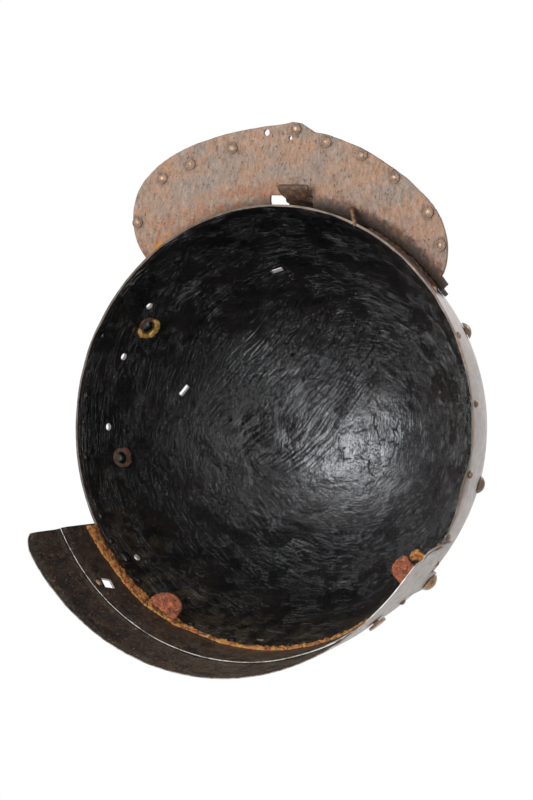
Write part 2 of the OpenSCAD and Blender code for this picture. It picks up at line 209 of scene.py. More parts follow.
# angle from the front and distance beyond the rim
PEAK_RIVETS = [(-40, 21.5), (-30, 32.5), (-23, 32), (-13, 32.5), (1.2, 38.5),
               (8, 33.5), (16.5, 31.5), (25, 27.5), (35.5, 22.5), (42.5, 14.5)]
PEAK_SPOTS = [((RIM_R + o) * ang(a)[0], (RIM_R + o) * ang(a)[1]) for a, o in PEAK_RIVETS]


# ---------------------------------------------------------------- sheets
def edge_z(theta, r0, f, z0):
    """Height at which a flared sheet of radius r0 - f z meets the sloping edge plane through z0 at the nape."""
    t, c = math.tan(math.radians(UPPER_SLOPE)), math.cos(math.radians(theta))
    return (z0 + (RIM_R + 4 - r0 * c) * t) / (1 - f * c * t)


def smooth(x):
    x = min(1.0, max(0.0, x))
    return x * x * (3 - 2 * x)


def finish_piece(ob, node, slot, body, material=None, sharp=38.0):
    """Gives a piece its edges, material and body, and hides the node that it stands for."""
    ob.data.set_sharp_from_angle(angle=math.radians(sharp))
    ob.data.materials.clear()
    ob.data.materials.append(material or MAT[slot])
    if node:
        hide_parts(node)
    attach(ob, body)
    return ob


# ---------------------------------------------------------------- materials
def add_node(tree, kind, *sources, op=None, clamp=False):
    """A new shader node. Its first inputs take the sources: sockets are linked, values are set, None is left."""
    n = tree.nodes.new("ShaderNode" + kind)
    if op:
        n.operation = op
    if clamp:
        n.use_clamp = True
    for socket, source in zip(n.inputs, sources):
        if isinstance(source, bpy.types.NodeSocket):
            tree.links.new(source, socket)
        elif source is not None:
            socket.default_value = source
    return n


class Mat:
    """A small wrapper that builds a node material."""

    def __init__(self, name):
        self.m = bpy.data.materials.new(name)
        self.m.use_nodes = True
        self.t = self.m.node_tree
        self.t.nodes.clear()
        coord = add_node(self.t, "TexCoord")
        self.p = self.vec("SCALE", coord.outputs["Object"], scale=1000.0)  # place in millimetres

    def put(self, socket, value):
        if isinstance(value, bpy.types.NodeSocket):
            self.t.links.new(value, socket)
        elif value is not None:
            socket.default_value = value

    def vec(self, op, a, b=None, scale=None):
        n = add_node(self.t, "VectorMath", a, b, op=op)
        if scale is not None:
            n.inputs["Scale"].default_value = scale
        return n.outputs["Value" if op in ("LENGTH", "DISTANCE", "DOT_PRODUCT") else "Vector"]

    def math(self, op, a, b=None):
        return add_node(self.t, "Math", a, b, op=op).outputs[0]

    def mul(self, a, b):
        return self.math("MULTIPLY", a, b)

    def add(self, a, b):
        return self.math("ADD", a, b)

    def sub(self, a, b):
        return self.math("SUBTRACT", a, b)

    def noise(self, size, vec=None, detail=4.0, rough=0.55, distort=0.0):
        n = add_node(self.t, "TexNoise", vec or self.p)
        n.inputs["Scale"].default_value = 1.0 / size
        n.inputs["Detail"].default_value = detail
        n.inputs["Roughness"].default_value = rough
        n.inputs["Distortion"].default_value = distort
        return n.outputs["Fac"]

    def noise_vec(self, size, detail):
        n = add_node(self.t, "TexNoise", self.p)
        n.inputs["Scale"].default_value = 1.0 / size
        n.inputs["Detail"].default_value = detail
        return n.outputs["Color"]

    def warp(self, size, amount, detail=2.0):
        """The place shifted by noise of that size."""
        return self.vec("ADD", self.p, self.vec("SCALE", self.noise_vec(size, detail), scale=amount))

    def crack_distance(self, size, vec):
        """Distance to the nearest edge between cells of that size."""
        n = add_node(self.t, "TexVoronoi", vec)
        n.feature = "DISTANCE_TO_EDGE"
        n.inputs["Scale"].default_value = 1.0 / size
        return n.outputs["Distance"]

    def ramp(self, fac, lo, hi, a=0.0, b=1.0):
        n = add_node(self.t, "MapRange", fac, lo, hi, a, b)
        n.interpolation_type = "SMOOTHSTEP"
        return n.outputs["Result"]

    def mix(self, fac, a, b):
        n = add_node(self.t, "Mix", fac)
        n.data_type = "RGBA"
        for i, v in ((6, a), (7, b)):
            self.put(n.inputs[i], v if isinstance(v, bpy.types.NodeSocket) else (*v, 1.0))
        return n.outputs[2]

    def bump(self, height, strength, distance, normal=None):
        n = add_node(self.t, "Bump", strength, distance * MM)
        self.put(n.inputs["Height"], height)
        self.put(n.inputs["Normal"], normal)
        return n.outputs[0]

    def xyz(self):
        return tuple(add_node(self.t, "SeparateXYZ", self.p).outputs)

    def near(self, points, inner, outer):
        """1 within inner millimetres of any of the points, 0 beyond outer."""
        total = None
        for p in points:
            one = self.ramp(self.vec("DISTANCE", self.p, tuple(p)), inner, outer, 1.0, 0.0)
            total = one if total is None else self.math("MAXIMUM", total, one)
        return total

    def axes(self, u, v, along, across, through, vec):
        """Coordinates of vec stretched along u, tight along v, in features of those sizes in millimetres."""
        w = Vector(u).cross(Vector(v)).normalized()
        pairs = ((u, along), (v, across), (w, through))
        parts = [self.vec("DOT_PRODUCT", vec, tuple(c / size for c in axis)) for axis, size in pairs]
        return add_node(self.t, "CombineXYZ", *parts).outputs[0]

    def blend(self, fac, a, b, kind="FLOAT", slots=(2, 3)):
        """Mix of two plain values, or of two vectors."""
        n = add_node(self.t, "Mix", fac)
        n.data_type = kind
        self.put(n.inputs[slots[0]], a)
        self.put(n.inputs[slots[1]], b)
        return n

    def shade(self, color, rough, metal, normal, gloss=None):
        b = add_node(self.t, "BsdfPrincipled", color)
        for key, v in (("Roughness", rough), ("Metallic", metal), ("Normal", normal), ("Specular IOR Level", gloss)):
            self.put(b.inputs[key], v)
        add_node(self.t, "OutputMaterial", b.outputs[0])
        return self.m


def inside_mask(m):
    """1 on faces that look towards the helmet's axis, 0 on those that look outwards."""
    trans = add_node(m.t, "VectorTransform", add_node(m.t, "NewGeometry").outputs["True Normal"])
    trans.vector_type, trans.convert_from, trans.convert_to = "NORMAL", "WORLD", "OBJECT"
    centred = m.vec("ADD", m.p, (0.0, 0.0, -20.0))
    return m.ramp(m.vec("DOT_PRODUCT", trans.outputs[0], centred), -12.0, 12.0, 1.0, 0.0)


def wall_mask(m):
    """1 where a point lies more than a millimetre or so inside the skull's outer face, 0 outside it."""
    q = m.sub(m.xyz()[2], ARC_Z0)
    square = m.math("MAXIMUM", m.sub(SIDE_R**2, m.mul(q, q)), 1.0)
    side = m.add(m.math("SQRT", square), ARC_R0)
    r = m.vec("LENGTH", m.vec("MULTIPLY", m.p, (1.0, 1.0, 0.0)))
    return m.ramp(m.sub(side, r), 1.0, 1.6)


def skull_material():
    m = Mat("skull_iron")
    x, y, z = m.xyz()
    inside = inside_mask(m)
    flat = m.vec("MULTIPLY", m.p, (1.0, 1.0, 0.0))
    radius = m.vec("LENGTH", flat)
    # brush strokes that run round the bowl
    along = m.vec("SCALE", m.vec("NORMALIZE", flat), scale=5.0)
    meridian = m.sub(radius, m.mul(z, 0.9))
    wobble = m.vec("SCALE", m.noise_vec(28.0, 2.0), scale=9.0)
    ring = add_node(m.t, "CombineXYZ", None, None, m.mul(meridian, 0.95))
    ring_vec = m.vec("ADD", m.vec("ADD", along, ring.outputs[0]), wobble)
    round_strokes = m.noise(1.0, ring_vec, 3.0, 0.55)
    # long straight strokes on the wearer's right of the crown
    slant_vec = m.axes((0.62, -0.78, 0.05), (0.78, 0.62, 0.0), 19.0, 1.15, 9.0, m.warp(40.0, 7.0))
    slant_strokes = m.noise(1.0, slant_vec, 2.0, 0.5)
    # short upright wrinkles
    wrinkle_vec = m.axes((0.15, -0.98, 0.0), (0.98, 0.15, 0.0), 5.5, 0.95, 6.0, m.warp(9.0, 5.0))
    wrinkles = m.noise(1.0, wrinkle_vec, 4.0, 0.6)
    slant_zone = m.near([(-44, -14, 103), (-26, -40, 104)], 26.0, 44.0)
    slant_zone = m.mul(slant_zone, m.ramp(m.noise(17.0, detail=2.0), 0.36, 0.5))
    crown = m.near([(-6, 14, 116)], 30.0, 46.0)
    patches = m.ramp(m.noise(15.0, detail=3.0), 0.42, 0.56)
    off_crown = m.sub(1.0, m.mul(crown, 0.75))
    lines_round = m.mul(m.mul(m.ramp(round_strokes, 0.50, 0.68), off_crown), patches)
    lines_slant = m.mul(m.ramp(slant_strokes, 0.50, 0.69), slant_zone)
    grain = m.noise(1.3, detail=5.0, rough=0.62)
    lumps = m.noise(13.0, detail=3.0, rough=0.5, distort=0.5)
    crack = m.ramp(m.crack_distance(17.0, m.warp(6.0, 9.0, 3.0)), 0.0, 0.028, 1.0, 0.0)
    crack = m.mul(crack, m.near([(2, 12, 117), (10, 2, 115)], 9.0, 26.0))
    crack = m.mul(crack, m.ramp(m.noise(7.0, detail=2.0), 0.42, 0.52))
    height = m.add(m.mul(lines_round, 0.8), m.mul(lines_slant, 1.5))
    height = m.add(height, m.mul(wrinkles, 0.4))
    height = m.add(height, m.mul(grain, 0.3))
    height = m.sub(height, m.mul(crack, 0.9))
    paint_bump = m.bump(lumps, 0.8, 2.2, m.bump(height, 1.0, 0.85))
    # colour of the paint, browner and dustier near the rim at the nape
    low = m.ramp(z, 6.0, 62.0, 1.0, 0.0)
    nape = m.ramp(y, 10.0, 95.0)
    specks = m.noise(6.0, m.vec("MULTIPLY", m.p, (1.0, 1.0, 0.45)), 7.0, 0.72)
    dust = m.mul(m.mul(low, nape), m.ramp(specks, 0.40, 0.66))
    side = m.ramp(x, 10.0, 80.0)
    black = m.mix(m.ramp(m.noise(24.0, detail=5.0), 0.4, 0.7), (0.005, 0.0045, 0.005), (0.014, 0.011, 0.010))
    black = m.mix(m.mul(side, 0.7), black, (0.022, 0.017, 0.014))
    paint = m.mix(m.mul(dust, 0.85), black, (0.085, 0.062, 0.034))
    paint = m.mix(m.mul(crack, 0.8), paint, (0.002, 0.002, 0.002))
    # rust that creeps in over the rim, below the peak's left root and at the nape
    creep = m.mul(m.ramp(z, 0.4, 3.4, 1.0, 0.0), m.ramp(m.noise(4.0, detail=6.0, rough=0.7), 0.46, 0.6))
    creep_spots = [(-71, -84, 2), (-50, -98, 2), (46, 98, 2), (14, 108, 2), (-14, 108, 2)]
    creep = m.mul(creep, m.near(creep_spots, 14.0, 30.0))
    paint = m.mix(m.mul(creep, 0.9), paint, (0.24, 0.10, 0.032))
    # outside: worn bright iron with brown stains that gather at the rim
    steel = m.mix(m.ramp(m.noise(26.0, detail=5.0, rough=0.6), 0.35, 0.65), (0.36, 0.325, 0.31), (0.30, 0.265, 0.25))
    wear = m.noise(2.4, m.vec("MULTIPLY", m.p, (1.0, 1.0, 0.3)), 6.0, 0.7)
    steel = m.mix(m.ramp(wear, 0.45, 0.75, 0.0, 0.5), steel, (0.25, 0.22, 0.20))
    stain = m.mul(m.ramp(m.noise(7.0, detail=8.0, rough=0.75), 0.60, 0.70), 0.5)
    band = m.mul(m.ramp(z, 1.2, 5.0, 1.0, 0.0), m.ramp(m.noise(6.0, detail=6.0, rough=0.7), 0.40, 0.60))
    lip = m.ramp(m.add(z, m.mul(m.noise(3.0, detail=4.0), 1.6)), 0.9, 1.9, 1.0, 0.0)
    steel = m.mix(m.mul(band, 0.8), steel, (0.30, 0.20, 0.13))
    stain = m.math("MAXIMUM", stain, m.mul(lip, 0.8))
    steel = m.mix(stain, steel, (0.11, 0.065, 0.038))
    color = m.mix(inside, steel, paint)
    torn_x = m.add(x, m.mul(m.noise(14.0, detail=4.0), 60.0))
    dark_lip = m.mul(m.ramp(z, 1.2, 3.0, 1.0, 0.0), m.ramp(torn_x, -12.0, 34.0, 1.0, 0.25))
    color = m.mix(m.mul(dark_lip, 0.93), color, (0.035, 0.02, 0.013))
    bare = m.sub(0.85, m.mul(m.math("MAXIMUM", stain, dark_lip), 0.8))
    metal = m.mul(m.sub(1.0, inside), bare)
    gloss = m.near([(-12, 16, 116), (50, 8, 95)], 45.0, 100.0)
    gloss = m.add(m.mul(gloss, 0.65), 0.35)
    rough_in = m.ramp(m.noise(11.0, detail=4.0), 0.3, 0.7, 0.13, 0.24)
    rough_out = m.ramp(m.noise(4.0, detail=6.0), 0.3, 0.7, 0.34, 0.5)
    rough = m.blend(inside, rough_out, rough_in).outputs[0]
    dents = m.bump(m.noise(16.0, detail=2.0), 0.35, 0.8)
    plain_bump = m.bump(m.noise(2.0, detail=6.0, rough=0.6), 0.3, 0.12, dents)
    normal = m.blend(inside, plain_bump, paint_bump, "VECTOR", (4, 5)).outputs[1]
    return m.shade(color, rough, metal, normal, gloss)


def peak_material():
    m = Mat("peak_iron")
    x = m.xyz()[0]
    # pinkish grey skin of old rust over bluish iron
    base = m.mix(m.ramp(m.noise(19.0, detail=4.0, rough=0.6), 0.40, 0.60), (0.40, 0.235, 0.155), (0.325, 0.235, 0.185))
    blue = m.mul(m.near([(-50, -132, 11)], 5.0, 20.0), m.ramp(m.noise(6.0, detail=4.0), 0.38, 0.6))
    base = m.mix(m.mul(blue, 0.6), base, (0.26, 0.25, 0.235))
    cloud = m.noise(7.0, m.vec("ADD", m.p, (31.0, 5.0, 0.0)), 5.0, 0.65)
    base = m.mix(m.ramp(cloud, 0.52, 0.66, 0.0, 0.6), base, (0.47, 0.235, 0.125))
    relief_vec = m.vec("MULTIPLY", m.warp(6.0, 3.0), (1.0, 0.42, 1.0))
    relief = m.noise(1.7, relief_vec, 5.0, 0.68)
    pits = m.ramp(m.noise(1.1, m.vec("ADD", relief_vec, (13.0, 7.0, 0.0)), 5.0, 0.7), 0.60, 0.78)
    # colour follows the relief: painted shade in its hollows and a painted highlight on its tops
    base = m.mix(m.ramp(relief, 0.48, 0.32, 0.0, 0.7), base, (0.19, 0.11, 0.075))
    base = m.mix(m.ramp(relief, 0.50, 0.68, 0.0, 0.5), base, (0.55, 0.385, 0.30))
    base = m.mix(m.mul(pits, 0.7), base, (0.07, 0.04, 0.026))
    # dark stain round each rivet
    stain = m.near([(px, py, PEAK_Z) for px, py in PEAK_SPOTS], 2.7, 5.2)
    stain = m.mul(stain, m.ramp(m.noise(2.6, detail=4.0), 0.32, 0.62))
    base = m.mix(m.mul(stain, 0.6), base, (0.10, 0.052, 0.03))
    # orange rust and a dark crust towards the root, and painted shade in the bend there
    root = m.vec("LENGTH", m.vec("MULTIPLY", m.p, (1.0, 1.0, 0.0)))
    left = m.ramp(x, -30.0, 20.0, 1.0, 0.35)
    orange = m.mul(m.ramp(root, 116.0, 128.0, 1.0, 0.0), m.ramp(m.noise(5.0, detail=5.0, rough=0.7), 0.42, 0.58))
    base = m.mix(m.mul(m.mul(orange, left), 0.85), base, (0.37, 0.13, 0.05))
    blob = m.mul(m.near([(-70, -86, 10), (-66, -90, 11)], 4.0, 9.0), m.ramp(m.noise(3.0, detail=4.0), 0.38, 0.52))
    base = m.mix(blob, base, (0.62, 0.24, 0.035))
    ragged = m.add(root, m.mul(m.noise(2.6, detail=6.0, rough=0.75), 14.0))
    crust = m.ramp(ragged, 122.5, 127.0, 1.0, 0.0)
    crust = m.mul(crust, m.ramp(x, -10.0, 45.0))
    crumbs = m.mix(m.ramp(m.noise(2.0, detail=4.0), 0.5, 0.62), (0.035, 0.018, 0.012), (0.22, 0.085, 0.03))
    base = m.mix(m.mul(crust, 0.85), base, crumbs)
    # painted shade: the plate darkens into the bend at its root, more on the wearer's left
    painted_root_shade = m.mul(m.ramp(root, 112.5, 119.0, 1.0, 0.0), m.ramp(x, -70.0, 30.0, 0.3, 0.85))
    base = m.mix(painted_root_shade, base, (0.022, 0.013, 0.009))
    height = m.sub(relief, m.mul(pits, 0.7))
    fine = m.noise(0.7, relief_vec, 4.0, 0.7)
    normal = m.bump(m.noise(7.0, detail=4.0), 0.6, 1.4, m.bump(height, 1.0, 1.7, m.bump(fine, 0.7, 0.2)))
    return m.shade(base, m.ramp(m.noise(3.0), 0.3, 0.7, 0.5, 0.75), 0.1, normal)


def lame_material(name, edge):
    """Mottled dark iron inside, worn steel outside and along the lower edge. edge(m) is the height above that edge."""
    m = Mat(name)
    x = m.xyz()[0]
    inside = inside_mask(m)
    drift = m.vec("MULTIPLY", m.p, (1.0, 1.0, 0.7))
    dark = m.mix(m.ramp(m.noise(9.0, drift, 7.0, 0.68), 0.36, 0.62), (0.006, 0.0035, 0.0035), (0.034, 0.020, 0.014))
    dark = m.mix(m.ramp(m.noise(3.2, drift, 7.0, 0.75), 0.53, 0.68, 0.0, 0.9), dark, (0.125, 0.078, 0.042))
    fine = m.noise(1.3, m.vec("ADD", m.p, (40.0, 11.0, 3.0)), 4.0, 0.7)
    dark = m.mix(m.ramp(fine, 0.60, 0.68, 0.0, 0.9), dark, (0.30, 0.18, 0.085))
    rust = m.noise(2.6, m.vec("ADD", m.p, (14.0, 51.0, 3.0)), 5.0, 0.7)
    dark = m.mix(m.ramp(rust, 0.61, 0.68, 0.0, 0.9), dark, (0.26, 0.095, 0.035))
    pale = m.mul(m.ramp(x, -75.0, 10.0), m.ramp(m.noise(6.0, detail=6.0, rough=0.7), 0.38, 0.62))
    dark = m.mix(m.mul(pale, 0.55), dark, (0.10, 0.072, 0.046))
    steel = m.mix(m.noise(9.0, detail=6.0, rough=0.65), (0.42, 0.385, 0.36), (0.30, 0.27, 0.25))
    stain = m.ramp(m.noise(7.0, detail=8.0, rough=0.75), 0.54, 0.68)
    steel = m.mix(m.mul(stain, 0.6), steel, (0.15, 0.10, 0.07))
    h = m.add(edge(m), m.mul(m.sub(m.noise(3.0, detail=3.0), 0.5), 0.9))
    bright = m.ramp(h, 0.15, 0.45, 1.0, 0.0)
    worn = m.mix(m.ramp(m.noise(5.0, detail=5.0, rough=0.7), 0.40, 0.60), (0.07, 0.05, 0.035), (0.30, 0.27, 0.235))
    color = m.mix(inside, steel, dark)
    color = m.mix(bright, color, worn)
    out = m.math("MAXIMUM", m.sub(1.0, inside), m.mul(bright, 0.15))
    out = m.mul(out, m.sub(1.0, m.mul(bright, 0.75)))
    metal = m.mul(out, m.sub(0.85, m.mul(stain, 0.6)))
    rough = m.ramp(m.noise(3.0, detail=6.0), 0.3, 0.7, 0.38, 0.6)
    normal = m.bump(m.noise(15.0, detail=2.0), 0.4, 0.9, m.bump(m.noise(1.6, detail=7.0, rough=0.7), 0.7, 0.4))
    return m.shade(color, rough, metal, normal)


def iron_material(name, light, dark, rust, metal, size, rough=(0.4, 0.65), painted=False):
    """Old forged iron: two tones with rust. size scales the pattern; painted blackens what is inside the bowl."""
    m = Mat(name)
    c = m.mix(m.ramp(m.noise(4.0 * size, detail=6.0, rough=0.7), 0.4, 0.62), light, dark)
    c = m.mix(m.ramp(m.noise(2.2 * size, detail=6.0, rough=0.7), 0.52, 0.62), c, rust)
    r = m.ramp(m.noise(1.5 * size), 0.3, 0.7, *rough)
    if painted:
        wall = wall_mask(m)
        c = m.mix(wall, c, (0.008, 0.007, 0.007))
        r = m.sub(r, m.mul(wall, 0.25))
        metal = m.mul(m.sub(1.0, wall), metal)
    dents = m.bump(m.noise(3.5 * size, detail=2.0), 0.5, 0.5)
    return m.shade(c, r, metal, m.bump(m.noise(1.2 * size, detail=6.0, rough=0.65), 0.6, 0.3, dents))


def leather_material(name, a, b, c, size=1.0):
    m = Mat(name)
    col = m.mix(m.ramp(m.noise(4.5 * size, detail=6.0, rough=0.7), 0.40, 0.58), a, b)
    col = m.mix(m.ramp(m.noise(2.2 * size, detail=7.0, rough=0.75), 0.52, 0.64), col, c)
    crack = m.ramp(m.crack_distance(2.3 * size, m.warp(1.6, 1.6)), 0.0, 0.16, 1.0, 0.0)
    crack = m.mul(crack, m.ramp(m.noise(3.0), 0.4, 0.6))
    col = m.mix(m.mul(crack, 0.75), col, (0.03, 0.014, 0.008))
    height = m.sub(m.noise(1.3, detail=7.0, rough=0.7), m.mul(crack, 0.5))
    return m.shade(col, m.ramp(m.noise(2.0), 0.3, 0.7, 0.55, 0.8), 0.0, m.bump(height, 1.0, 0.8))


def upper_edge(m):
    _, y, z = m.xyz()
    t = math.tan(math.radians(UPPER_SLOPE))
    return m.add(m.add(z, UPPER_DROP), m.mul(m.sub(y, RIM_R + 4), t))


def lower_edge(m):
    return m.add(m.xyz()[2], LOWER_DROP - 0.25)


BRASS = ((0.42, 0.27, 0.15), (0.16, 0.095, 0.055), (0.27, 0.14, 0.07), 0.75, 1.0, (0.25, 0.42))
RIVET_TONES = ((0.27, 0.165, 0.10), (0.12, 0.07, 0.045), (0.33, 0.19, 0.10), 0.45, 1.0, (0.3, 0.5))
BOSS_TONES = ((0.20, 0.13, 0.08), (0.08, 0.05, 0.03), (0.30, 0.17, 0.09), 0.55, 1.2, (0.28, 0.45))
BAR_TONES = ((0.115, 0.065, 0.04), (0.04, 0.024, 0.018), (0.21, 0.095, 0.035), 0.35, 1.3, (0.35, 0.55))
PEAK_RIVET_TONES = ((0.40, 0.26, 0.17), (0.20, 0.12, 0.075), (0.45, 0.27, 0.15), 0.45, 0.7, (0.3, 0.5))
MAT = {
    "skull_iron": skull_material(),
    "peak_iron": peak_material(),
    "upper_lame": lame_material("upper_lame", upper_edge),
    "lower_lame": lame_material("lower_lame", lower_edge),
    "bar_iron": iron_material("bar_iron", *BAR_TONES),
    "rivet_iron": iron_material("rivet_iron", *PEAK_RIVET_TONES),
    "painted_rivet": iron_material("painted_rivet", *RIVET_TONES, True),
    "painted_boss": iron_material("painted_boss", *BOSS_TONES, True),
    "painted_brass": iron_material("painted_brass", *BRASS, True),
    "washer": iron_material("washer", (0.15, 0.085, 0.055), (0.07, 0.04, 0.026), (0.24, 0.13, 0.07), 0.1, 0.7),
    "rivet_brass": iron_material("rivet_brass", *BRASS),
    "leather_ochre": leather_material("leather_ochre", (0.44, 0.125, 0.03), (0.50, 0.24, 0.05), (0.12, 0.04, 0.015)),
    "leather_red": leather_material("leather_red", (0.38, 0.095, 0.035), (0.22, 0.055, 0.028), (0.58, 0.20, 0.05)),
    "scrap": leather_material("scrap", (0.82, 0.43, 0.07), (0.88, 0.56, 0.15), (0.50, 0.22, 0.05), 0.85),
    "rust_crust": leather_material("rust_crust", (0.055, 0.026, 0.016), (0.16, 0.062, 0.024), (0.018, 0.010, 0.008)),
    "boss": leather_material("boss", (0.15, 0.065, 0.032), (0.09, 0.04, 0.022), (0.24, 0.11, 0.05), 0.8),
}
MAT["lame_iron"] = MAT["upper_lame"]


# nodes that differ from their slot's material
SMALL_RIVETS = ("lining_rivets", "peak_root_rivets", "nasal_staple_rivets", "nape_rivets", "upper_lame_rivets")
OWN = dict.fromkeys(SMALL_RIVETS, "painted_rivet")
OWN.update(dict.fromkeys(("lame_pivot_rivet_left", "lame_pivot_rivet_right"), "painted_brass"))
OWN.update(dict.fromkeys(("peak_edge_washers", "strap_washers"), "washer"))
OWN.update(strap_rivets="painted_boss", lame_disc_rivets="rivet_iron")
for row in frame["record"]["subparts"]:
    mesh = NODES[row["node"]].data
    mesh.materials.clear()
    mesh.materials.append(MAT[OWN.get(row["node"], row["material_slot"])])
    mesh.polygons.foreach_set("use_smooth", [True] * len(mesh.polygons))

# ---------------------------------------------------------------- skull
COLS, ROWS = 360, 120
RIM_DENT = 103.0  # angle of a small dent in the rim
LOST_RIVETS = ((-55, 27), (-71.5, 26.5), (-92, 24), (-131, 16))  # angle and height of each hole, radius below
LOST_RIVET_R = 1.9
SLITS = ((-21, 65, 95), (-78.5, 67, 120))  # angle, height and turn
SLIT_SIZE, NAPE_HOLE_SIZE = (6.4, 2.5, 14), (2.6, 4.2, 14)


def skull_shift(a, r, z, face):
    """Radial offset of the hammered wall in millimetres."""
    x, y = r * math.sin(math.radians(a)), -r * math.cos(math.radians(a))
    d = 0.2 * nz(x, y, z, 22, 1.0) + 0.08 * nz(x, y, z, 9, 4.0)
    if face == "in":
        d += 0.34 * fbm(x, y, z, 15, 2, 9.0) + 0.06 * nz(x, y, z, 3.5, 2.0)
        d += 1.05 * (1 - smooth(z / 5.0))
    away = (a - RIM_DENT + 180) % 360 - 180
    d -= 1.4 * math.exp(-((away / 5.0) ** 2)) * max(0.0, 1 - z / 5.0) ** 1.5
    return d - 0.12


def skull_grid(off, face):
    grid = []
    for r, z, a in skull_profile(off, ROWS):
        row = []
        for j in range(COLS):
            t = 360.0 * j / COLS
            d = skull_shift(t, max(r, 1.0), z, face) * min(1.0, r / 12)
            rr, zz = r + d * math.cos(a), z + d * math.sin(a)
            zz += max(0.0, 1 - z / 6.0) * 0.3 * (nz(t / 3.0, 0, 0, 2.0, 3.0) + 0.5 * nz(t, 0, 0, 1.3, 3.0) + 0.8)
            ux, uy = ang(t)
            row.append((rr * ux, rr * uy, zz))
        grid.append(row)
    return grid


skull = sheet_solid("skull_shell", skull_grid(0.0, "out"), skull_grid(-WALL, "in"), closed=True)
bm = bmesh.new()
bm.from_mesh(skull.data)
bmesh.ops.remove_doubles(bm, verts=[v for v in bm.verts if math.hypot(v.co.x, v.co.y) < 2e-4], dist=5e-4)
bm.to_mesh(skull.data)
bm.free()
holes = [cutter("rod", on_skull(a, z), (LOST_RIVET_R, 14)) for a, z in LOST_RIVETS]
holes += [cutter("block", on_skull(*slit), SLIT_SIZE) for slit in SLITS]
holes += [cutter("block", on_skull(-177, 10.5), NAPE_HOLE_SIZE)]
cut(skull, holes)
finish_piece(skull, "skull", "skull_iron", "shell")

# ---------------------------------------------------------------- peak
ZB = PEAK_Z + BEND_R
BEND_C = float(skull_r(ZB)) + FLANGE_GAP + BEND_R
PEAK_BACK = 79.0  # the peak's ends stop at this distance in front of the skull's axis
EDGE_ROUND = ((0, 0.95), (0.12, 0.5), (0.45, 0.15))  # the rounded front edge, inwards and off either face
TIP_X = [-14, -10, -4.5, 0.5, 5.6, 9.6, 14]
TIP_Y = [148.2, *(PEAK_FRONT + d for d in (2.3, 3.4, PEAK_POINT, PEAK_POINT - 0.5, 1.5, -0.9))]
PEAK_CORNERS = (28.1, 36.4)  # angles where the outline's two circles meet, on the wearer's right and left
HALVES = {
    -1: ((2.5, 164.0 - PEAK_FRONT - 3), 164.0, (31.5 - PEAK_HALF_W, 5.5 - RIM_R), 31.5),
    1: ((-10.5, 125.0 - PEAK_FRONT - 1.7), 125.0, (PEAK_HALF_W - 36.5, 21 - RIM_R), 36.5),
}


def far_root(u, c, r):
    """Where a ray from the origin along u leaves a circle, or None."""
    b = u[0] * c[0] + u[1] * c[1]
    q = b * b - c[0] ** 2 - c[1] ** 2 + r * r
    return b + math.sqrt(q) if q > 0 else None


def peak_reach(a):
    """Distance of the peak's outline from the skull's axis at an angle from the front."""
    u = ang(a)
    front_c, front_r, end_c, end_r = HALVES[1 if a > 0 else -1]
    d = (end_c[0] - front_c[0], end_c[1] - front_c[1])
    x = end_c[0] + end_r * d[0] / math.hypot(*d)
    r = far_root(u, front_c, front_r)
    if abs(r * u[0]) > abs(x):
        r = far_root(u, end_c, end_r) or 0.0
    for _ in range(3):
        tx = r * u[0]
        if r and -14 < tx < 14:
            r = max(r, float(np.interp(tx, TIP_X, TIP_Y)) / -u[1])
    if -r * u[1] < PEAK_BACK:
        r = 0.0
    r -= 0.3 + 0.35 * nz(a, 0, 0, 5.0, 2.0) + 0.25 * nz(a, 0, 0, 2.1, 5.0)
    return max(r, BEND_C + 0.9)


def peak_edge(a):
    """The outline with the corner between its two circles eased away."""
    r = peak_reach(a)
    around = [peak_reach(a + d) for d in (-4, -2.4, -0.8, 0.8, 2.4, 4)]
    ease = smooth((7.5 - abs(abs(a) - PEAK_CORNERS[a > 0])) / 4.5)
    return r + (sum(around) / len(around) - r) * ease


def peak_relief(x, y):
    near = min(math.hypot(x - px, y - py) for px, py in PEAK_SPOTS)
    d = 0.16 * fbm(x, y * 0.55, 0, 6.5, 3, 3.0) + 0.22 * nz(x, y, 0, 19, 8.0)
    return d * smooth((near - 2.2) / 3.0)


def peak_columns():
    under, over = [], []
    for a in np.linspace(-FLANGE_END, FLANGE_END, 340):
        u, reach = ang(a), peak_edge(a)
        low = [(reach - back, PEAK_Z + h) for back, h in EDGE_ROUND]
        top = [(reach - back, PEAK_Z + PEAK_T - h) for back, h in EDGE_ROUND]
        for t in np.linspace(0, 1, 44)[1:]:
            r = reach - 0.9 + (BEND_C - reach + 0.9) * t
            low.append((r, PEAK_Z))
            top.append((r, PEAK_Z + PEAK_T - 0.2 * t))
        for k in range(1, 9):
            f = math.radians(90 - 90 * k / 8)
            low.append((BEND_C - BEND_R * math.cos(f), ZB - BEND_R * math.sin(f)))
            top.append((BEND_C - (BEND_R - FLANGE_T) * math.cos(f), ZB - (BEND_R - FLANGE_T) * math.sin(f)))
        for z in np.linspace(ZB, PEAK_Z + FLANGE_H, 8)[1:]:
            low.append((float(skull_r(z)) + 0.2, z))
            top.append((float(skull_r(z)) + FLANGE_GAP + FLANGE_T, z))
        for rows, out in ((low, under), (top, over)):
            col = []
            for i, (r, z) in enumerate(rows):
                x, y = r * u[0], r * u[1]
                plate = smooth((r - BEND_C + 2) / 6.0) * (1.0 if 2 < i < 47 else 0.4)
                col.append((x, y, z + (peak_relief(x, y) * plate if r > BEND_C - 2 else 0.0)))
            out.append(col)
    return under, over


under, over = peak_columns()
peak = sheet_solid("peak_plate", over, under)
SLOT_FRONT = float(skull_r(PEAK_Z)) + FLANGE_GAP + 6.2
cuts = [cutter("block", Matrix.Translation((SLOT_MID * MM, (20 - SLOT_FRONT) * MM, 18 * MM)), (SLOT_W, 40, 18))]
for a, o, r in ((-5.2, 37.3, 1.75), (0, 34, 1.1)):
    spot = ((RIM_R + o) * ang(a)[0] * MM, (RIM_R + o) * ang(a)[1] * MM, 12 * MM)
    cuts.append(cutter("rod", Matrix.Translation(spot), (r, 12)))
cut(peak, cuts)
finish_piece(peak, "peak", "peak_iron", "shell")

